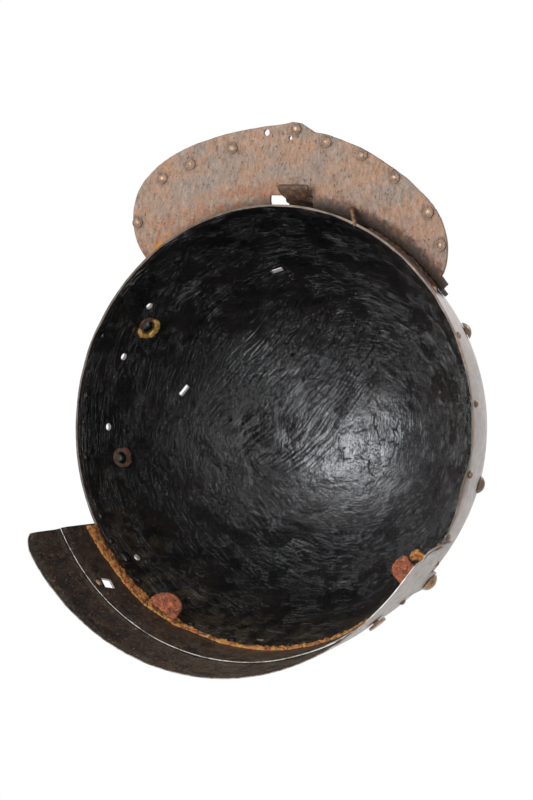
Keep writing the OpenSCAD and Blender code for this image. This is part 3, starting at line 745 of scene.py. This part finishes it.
# ---------------------------------------------------------------- nasal bar
def strip(name, path):
    """A flat bar along a path in the Y Z plane. Each path point gives y, z, width and thickness."""
    front, back, cols = [], [], 15
    for i, (y, z, w, t) in enumerate(path):
        a, b = path[max(i - 1, 0)], path[min(i + 1, len(path) - 1)]
        ty, tz = b[0] - a[0], b[1] - a[1]
        n = math.hypot(ty, tz)
        ny, nz_ = -tz / n, ty / n
        rows = ([], [])
        for k in range(cols):
            f = -1 + 2 * k / (cols - 1)
            x = f * w / 2
            half = t / 2 * (1 - 0.35 * smooth((abs(f) - 0.86) / 0.14)) - 0.08 - 0.06 * nz(x, y, z, 4.0, 1.0)
            rows[0].append((BAR_X + x, y + ny * half, z + nz_ * half))
            rows[1].append((BAR_X + x, y - ny * half, z - nz_ * half))
        front.append(rows[0])
        back.append(rows[1])
    return sheet_solid(name, front, back)


LEAF_R = 11.0


def bar_path():
    """From the leaf down the straight bar, then round to the end that is turned forward under the peak."""
    lean, drop = math.radians(BAR_LEAN), math.radians(TAB_DROP)
    foot = (-(float(skull_r(PEAK_Z)) + FLANGE_GAP + 4.2), PEAK_Z)
    path = []
    for s in [*(BAR_LEN + LEAF_R * np.cos(np.linspace(0.06, 2.2, 26))), *np.linspace(BAR_LEN - 9, 2.2, 44)]:
        disc = 2 * math.sqrt(max(0.0, LEAF_R**2 - (s - BAR_LEN) ** 2))
        w = disc if s > BAR_LEN else max(BAR_W, disc if s > BAR_LEN - 8.5 else 0.0)
        path.append((foot[0] + math.sin(lean) * s, foot[1] + math.cos(lean) * s, w - 0.1, BAR_T))
    p0 = path[-1][:2]
    end = (foot[0] + 2.1 - TAB_REACH * math.cos(drop), foot[1] - 1.55 - TAB_REACH * math.sin(drop))
    p1 = (p0[0] - 3.4 * math.sin(lean), p0[1] - 3.4 * math.cos(lean))
    p2 = (end[0] + 6.0 * math.cos(drop), end[1] + 6.0 * math.sin(drop))
    for t in np.linspace(0, 1, 19)[1:]:
        b = [(1 - t) ** 3, 3 * t * (1 - t) ** 2, 3 * t * t * (1 - t), t**3]
        y, z = (sum(c * p[i] for c, p in zip(b, (p0, p1, p2, end))) for i in (0, 1))
        w = float(np.interp(t, [0, 0.3, 0.45, 0.7, 0.93, 1.0], [14.3, 12.0, 11.2, 15.2, 16.9, 15.6]))
        path.append((y, z, w, BAR_T - 0.5 * t - 0.7 * smooth((t - 0.9) / 0.1)))
    return path


bar = strip("nasal_strip", bar_path())
finish_piece(bar, "nasal_bar", "bar_iron", "nasal")

# ---------------------------------------------------------------- lames of the neck guard
LOWER_R0 = RIM_R + 0.15 + LAME_T + LAME_PLAY
END_LEAN, END_RISE = 2.6, 4.0  # degrees and millimetres, at the end on the wearer's left
EDGE_T, LAP_PAD = 0.45, 0.75  # sheet at the lower edge, and what closes the gap at the overlap
UPPER_TOP, STUB_TOP, EAR_PATH = 12.4, -3.0, 113.0  # EAR_PATH is the radius on which the ears are laid out
LAME_SLOT_A, LAME_SLOT_Z, LAME_SLOT_TURN, LAME_SLOT_SIZE = 43.7, -17.1, 18, (6.5, 6.2, 30)


def end_rise(th):
    return END_RISE * smooth((th - 40.0) / 20.0)


def lame_mesh(name, radius, top, bottom, angles, seed, pad=0.0):
    """A bent lame between its two edges, thinned towards the lower one. pad thickens it inwards at the overlap."""
    inner, outer = [], []
    for th in angles:
        zt, zb = top(th), bottom(th)
        zb += 0.25 + 0.22 * nz(th, 0, 0, 4.0, seed) + 0.12 * nz(th, 0, 0, 1.3, seed)
        rows = ([], [])
        for k in range(48):
            t = (k / 47) ** 1.25
            z = zb + (zt - zb) * t
            r = float(radius(z))
            ux, uy = ang(180 - th + END_LEAN * smooth((th - 52.0) / 9.0) * smooth(-z / 48.0))
            d = 0.13 * nz(r * ux, r * uy, z, 17, seed) + 0.04 * nz(r * ux, r * uy, z, 5, seed)
            lap = smooth((z + UPPER_DROP + 1.5) / 3.0) * smooth((-14.0 - z) / 4.0)
            thick = EDGE_T + (LAME_T - 0.05 - EDGE_T) * smooth((z - zb) / 5.0) + pad * lap
            face = r + LAME_T - 0.05 + d
            rows[0].append(((face - thick) * ux, (face - thick) * uy, z))
            rows[1].append((face * ux, face * uy, z))
        inner.append(rows[0])
        outer.append(rows[1])
    return sheet_solid(name, outer, inner)


def lower_bottom(th):
    y = (abs(th) - LAME_HALF) * math.radians(1) * RIM_R + 0.465 * CORNER_R * math.radians(1) * RIM_R
    if y <= 0:
        return end_rise(th) - LOWER_DROP
    if th > 0:
        y *= 0.7
    return end_rise(th) + CORNER_R - LOWER_DROP - math.sqrt(max(0.0, CORNER_R**2 - y * y))


def lower_top(th):
    d = (abs(th) - PIVOT_A) * math.radians(1) * EAR_PATH
    if abs(d) < EAR_R:
        return PIVOT_Z + math.sqrt(EAR_R**2 - d * d)
    if d > 0:
        return STUB_TOP
    return edge_z(th, LOWER_R0, FLARE + 0.016, OVERLAP - UPPER_DROP)


def upper_bottom(th):
    return edge_z(th, RIM_R + 0.15, FLARE, -UPPER_DROP)


upper_angles = np.linspace(-LAME_HALF, LAME_HALF, 260)
upper = lame_mesh("upper_lame", lame_r, lambda th: UPPER_TOP, upper_bottom, upper_angles, 3.0)
cuts = []
for sign in (-1, 1):
    a, r = sign * (180 - LAME_SLOT_A), float(lame_r(LAME_SLOT_Z))
    m = place(a, r, LAME_SLOT_Z, math.degrees(math.atan(FLARE)), -LAME_SLOT_TURN * sign)
    cuts.append(cutter("block", m, LAME_SLOT_SIZE))
cut(upper, cuts)

ear = math.degrees(EAR_R / EAR_PATH)
lower_angles = set(np.linspace(-LAME_HALF, LAME_HALF, 230))
for sign in (-1, 1):
    lower_angles |= {sign * (PIVOT_A + ear * f) for f in (-1.004, 1.004, *np.sin(np.linspace(-1.5, 1.5, 25)))}
lower = lame_mesh("lower_lame", lower_r, lower_top, lower_bottom, sorted(lower_angles), 11.0, LAP_PAD)
cut(lower, [cutter("rod", on_skull(sign * (180 - PIVOT_A), PIVOT_Z), (2.9, 20)) for sign in (-1, 1)])

# ---------------------------------------------------------------- leather remains
STRIP_AT = [-61, -50, -33, -24, -20, -5, 20, 40, 61]
STRIP_DEEP = [7.2, 5.6, 5.8, 4.6, 1.9, 1.9, 2.8, 3.2, 3.6]


def leather_strip():
    """Torn leather edge under the rim: deep at the wearer's right end, thin towards the left."""
    inner, outer = [], []
    lo = -LAME_HALF + 0.6
    for th in np.linspace(lo, LAME_HALF - 0.6, 420):
        ux, uy = ang(180 - th)
        deep = float(np.interp(th, STRIP_AT, STRIP_DEEP))
        deep += 1.0 * nz(th, 0, 0, 3.4, 4.0) + 0.7 * nz(th, 0, 0, 1.2, 9.0) + 0.4 * nz(th, 0, 0, 0.5, 2.0)
        deep = max(0.5, min(LEATHER_H + 3.0, deep))
        rows = ([], [])
        for k in range(9):
            z = -0.15 - deep * k / 8
            wall = float(lame_r(z)) - 0.2
            swell = 1.5 + 1.0 * fbm(wall * ux, wall * uy, z, 2.4, 3, 6.0)
            face = wall - swell * (1 - 0.5 * (k / 8) ** 3)
            rows[0].append((face * ux, face * uy, z))
            rows[1].append((wall * ux, wall * uy, z))
        inner.append(rows[0])
        outer.append(rows[1])
    return sheet_solid("leather_strip", outer, inner)


def patch(name, matrix, outline, thick, lump, seed):
    """A crumpled scrap: a disc whose radius follows outline(angle in degrees), on the local X Y plane."""
    top, bottom = [], []
    for k in range(15):
        f = k / 14
        rows = ([], [])
        for j in range(72):
            a = 5.0 * j
            r = f * outline(a) * (1 + 0.06 * nz(a / 14.0, 0, 0, 1.0, seed) + 0.05 * nz(a / 5.0, 0, 0, 1.0, seed))
            x, y = r * math.cos(math.radians(a)), r * math.sin(math.radians(a))
            h = lump * fbm(x, y, 0, 3.2, 3, seed) * (1 - f**3)
            edge = thick * math.sqrt(max(0.0, 1 - f**6)) / 2 + 0.04
            rows[0].append(tuple(matrix @ Vector((x * MM, y * MM, (h + edge) * MM)) * 1000))
            rows[1].append(tuple(matrix @ Vector((x * MM, y * MM, (h - edge) * MM)) * 1000))
        top.append(rows[0])
        bottom.append(rows[1])
    return sheet_solid(name, top, bottom, closed=True)


def on_inner(a, z, off):
    """Matrix on the bowl's inner wall, +Z into the bowl, off millimetres away from the wall."""
    return on_skull(a, z) @ Matrix.Translation((0, 0, -(WALL + off) * MM)) @ Matrix.Rotation(math.pi, 4, "X")


def under_rim(a, r, z):
    """Matrix in the plane under the rim, local X outwards."""
    return Matrix.Rotation(math.radians(a - 90), 4, "Z") @ Matrix.Translation((r * MM, 0, z * MM))


strip_piece = leather_strip()
finish_piece(upper, "neck_lame_upper", "lame_iron", "shell", MAT["upper_lame"])
finish_piece(lower, "neck_lame_lower", "lame_iron", "lower_lame", MAT["lower_lame"])
finish_piece(strip_piece, "leather_band", "leather_ochre", "shell", sharp=60)


def half_disc(a):
    c, s = math.cos(math.radians(a)), math.sin(math.radians(a))
    r = 3.5 * c + math.sqrt(8.8**2 - (3.5 * s) ** 2)
    return min(r, 6.4 / c) if c > 0.3 else r


def flap(a):
    steps = [0, 40, 90, 140, 180, 230, 270, 320, 360]
    return float(np.interp(a % 360, steps, [6.4, 7.2, 5.6, 6.8, 6.6, 7.4, 5.4, 7.0, 6.4]))


def knob(a):
    return 3.6 + 1.0 * math.cos(math.radians(2 * a + 40)) + 0.6 * math.cos(math.radians(3 * a))


lean = on_inner(-150.8, -5.6, 2.9) @ Matrix.Rotation(math.radians(40), 4, "Y") @ Matrix.Translation((-4.2 * MM, 0, 0))
tab = patch("leather_scrap", lean, half_disc, 1.4, 1.1, 3.0)
finish_piece(tab, "leather_tab_right", "leather_red", "shell", sharp=60)
tab = patch("leather_flap", under_rim(131, 103.0, -1.15), flap, 1.0, 0.55, 8.0)
finish_piece(tab, "leather_tab_left", "leather_red", "shell", sharp=60)
tail = patch("leather_tail", under_rim(125, 104.4, -2.4), knob, 2.4, 1.0, 21.0)
finish_piece(tail, None, "leather_ochre", "shell", sharp=60)


def torn_ring(name, matrix, a0, a1, r_in, widths, thick, lump, seed):
    """A torn collar round a rivet: widths gives its outer radius at even steps from a0 to a1."""
    top, bottom = [], []
    for a in np.linspace(a0, a1, 56):
        w = float(np.interp(a, np.linspace(a0, a1, len(widths)), widths)) * (1 + 0.10 * nz(a / 7.0, 0, 0, 1.0, seed))
        rows = ([], [])
        for k in range(11):
            f = k / 10
            r = r_in + (max(w, r_in + 0.4) - r_in) * f
            x, y = r * math.cos(math.radians(a)), r * math.sin(math.radians(a))
            h = lump * fbm(x, y, 0, 2.6, 3, seed) + 0.3
            half = thick * math.sqrt(max(0.0, 1 - (2 * f - 1) ** 4)) / 2 + 0.05
            rows[0].append(tuple(matrix @ Vector((x * MM, y * MM, (h + half) * MM)) * 1000))
            rows[1].append(tuple(matrix @ Vector((x * MM, y * MM, (0.2 - half) * MM)) * 1000))
        top.append(rows[0])
        bottom.append(rows[1])
    return sheet_solid(name, top, bottom)


widths = [4.4, 6.0, 6.6, 6.4, 7.0, 8.2, 8.6, 8.0, 6.4, 4.6]
collar = torn_ring("strap_scrap_front", on_inner(-61, 33, 0.5), 20, 258, 3.9, widths, 1.5, 0.7, 2.0)
finish_piece(collar, None, "leather_ochre", "shell", MAT["scrap"], sharp=60)
widths = [4.4, 6.4, 7.6, 7.4, 6.8, 4.6]
collar = torn_ring("strap_scrap_back", on_inner(-101, 31, 0.4), 100, 262, 3.9, widths, 1.3, 0.4, 5.0)
finish_piece(collar, None, "leather_red", "shell", MAT["boss"], sharp=60)


def rod(name, points, radii):
    """A round bar through points, with a radius at each."""
    verts, faces, sides = [], [], 12
    for i, (p, r) in enumerate(zip(points, radii)):
        a, b = Vector(points[max(i - 1, 0)]), Vector(points[min(i + 1, len(points) - 1)])
        d = (b - a).normalized()
        u = d.orthogonal().normalized() if i == 0 else (u - d * u.dot(d)).normalized()
        v = d.cross(u)
        for t in (2 * math.pi * k / sides for k in range(sides)):
            verts.append(tuple(Vector(p) + (u * math.cos(t) + v * math.sin(t)) * r))
    n = len(points)
    for i in range(n - 1):
        for k in range(sides):
            a, b = i * sides + k, i * sides + (k + 1) % sides
            faces.append((a, b, b + sides, a + sides))
    faces += [tuple(range(sides)), tuple(range((n - 1) * sides, n * sides))]
    return obj_from(name, verts, faces)


# bent pin at the peak's root, from the peak's underside to the rim
PIN_LINE = [(35.8, -110.6, 11.3), (36.6, -109.6, 9.6), (37.8, -107.8, 7.4), (39.3, -105.6, 5.2),
            (41.0, -103.4, 3.0), (42.4, -102.0, 1.0), (42.8, -101.4, -0.2)]
pin = rod("root_pin", PIN_LINE, [0.5, 1.15, 1.25, 1.0, 1.1, 1.2, 0.6])
finish_piece(pin, None, "rivet_brass", "shell")

# crust of rust that closes the gap between the rim and the flange on the wearer's left
crust_line, crust_size = [], []
for a in np.linspace(24, 49.5, 90):
    u, z = ang(a), 12.2 + 0.8 * nz(a, 0, 0, 1.7, 33.0)
    r = skull_r(z) + 0.3 + 0.5 * nz(a, 0, 0, 1.1, 35.0)
    crust_line.append((r * u[0], r * u[1], z))
    crust_size.append(0.9 + 0.5 * nz(a, 0, 0, 0.8, 37.0))
finish_piece(rod("root_crust", crust_line, crust_size), None, "peak_iron", "shell", MAT["rust_crust"], 60)

# ---------------------------------------------------------------- camera
scene = bpy.context.scene
cam = bpy.data.objects.new("camera", bpy.data.cameras.new("camera"))
scene.collection.objects.link(cam)
scene.camera = cam
cam.data.sensor_fit = "VERTICAL"
cam.data.sensor_height = 36.0
cam.data.lens = 162.5
cam.data.shift_x, cam.data.shift_y = -0.0030, 0.0334
cam.data.clip_start, cam.data.clip_end = 0.05, 50.0
right, up, back = (0.893, -0.0402, 0.4483), (-0.0377, -0.9992, -0.0145), (0.4485, -0.004, -0.8938)
turn = Matrix((right, up, back)).transposed().to_quaternion().to_matrix().to_4x4()
cam.matrix_world = Matrix.Translation((0.8074, -0.0072, -1.6088)) @ turn

# ---------------------------------------------------------------- light, world and floor
def lamp(name, direction, distance, watts, size, color=(1.0, 1.0, 1.0)):
    data = bpy.data.lights.new(name, "AREA")
    data.shape, data.size, data.energy, data.color = "DISK", size, watts, color
    ob = bpy.data.objects.new(name, data)
    scene.collection.objects.link(ob)
    d = Vector(direction).normalized()
    ob.location = d * distance + Vector((0, 0, 0.03))
    ob.rotation_euler = d.to_track_quat("Z", "Y").to_euler()
    ob.visible_camera = False


lamp("below", (-0.24, -0.2, -0.95), 1.5, 26.0, 1.0, (0.91, 0.965, 1.0))
lamp("side", (0.9, -0.1, -0.35), 1.8, 5.0, 0.9)
lamp("above_front", (0.5, -0.8, 0.9), 1.8, 9.0, 0.9)
lamp("above_back", (-0.6, 0.8, 0.8), 1.8, 7.0, 0.9)

world = bpy.data.worlds.new("world")
scene.world = world
world.use_nodes = True
wt = world.node_tree
wt.nodes.clear()
rays = add_node(wt, "LightPath").outputs
more = add_node(wt, "Math", rays["Is Glossy Ray"], rays["Is Transmission Ray"], op="ADD")
seen = add_node(wt, "Math", rays["Is Camera Ray"], more.outputs[0], op="ADD", clamp=True)
soft = add_node(wt, "Background", (1, 1, 1, 1), 0.2)
white = add_node(wt, "Background", (1, 1, 1, 1), 1.0)
blend = add_node(wt, "MixShader", seen.outputs[0], soft.outputs[0], white.outputs[0])
add_node(wt, "OutputWorld", blend.outputs[0])

# The photograph looks up from under the helmet, so the floor shows only from above. It glows for the camera alone,
# keeps the shadow near the helmet and fades into the white world further out.
corners = [(-4000, -4000, 0), (4000, -4000, 0), (4000, 4000, 0), (-4000, 4000, 0)]
floor = obj_from("floor", corners, [(0, 1, 2, 3)], smooth=False)
floor.location.z = CAD_BOX[0][2] - 0.0005
fm = bpy.data.materials.new("floor")
fm.use_nodes = True
ft = fm.node_tree
ft.nodes.clear()
rays, spot = add_node(ft, "LightPath").outputs, add_node(ft, "NewGeometry").outputs
front = add_node(ft, "Math", rays["Is Camera Ray"], spot["Backfacing"], op="SUBTRACT", clamp=True)
far = add_node(ft, "VectorMath", spot["Position"], op="LENGTH")
fade = add_node(ft, "MapRange", far.outputs["Value"], 0.25, 0.75, 1.0, 0.0)
seen = add_node(ft, "Math", front.outputs[0], fade.outputs["Result"], op="MULTIPLY")
pale = add_node(ft, "BsdfDiffuse", (0.86, 0.86, 0.86, 1))
glow = add_node(ft, "Emission", None, 0.5)
both = add_node(ft, "AddShader", pale.outputs[0], glow.outputs[0])
clear = add_node(ft, "BsdfTransparent")
mixed = add_node(ft, "MixShader", seen.outputs[0], clear.outputs[0], both.outputs[0])
add_node(ft, "OutputMaterial", mixed.outputs[0])
floor.data.materials.append(fm)

scene.view_settings.view_transform = "Standard"
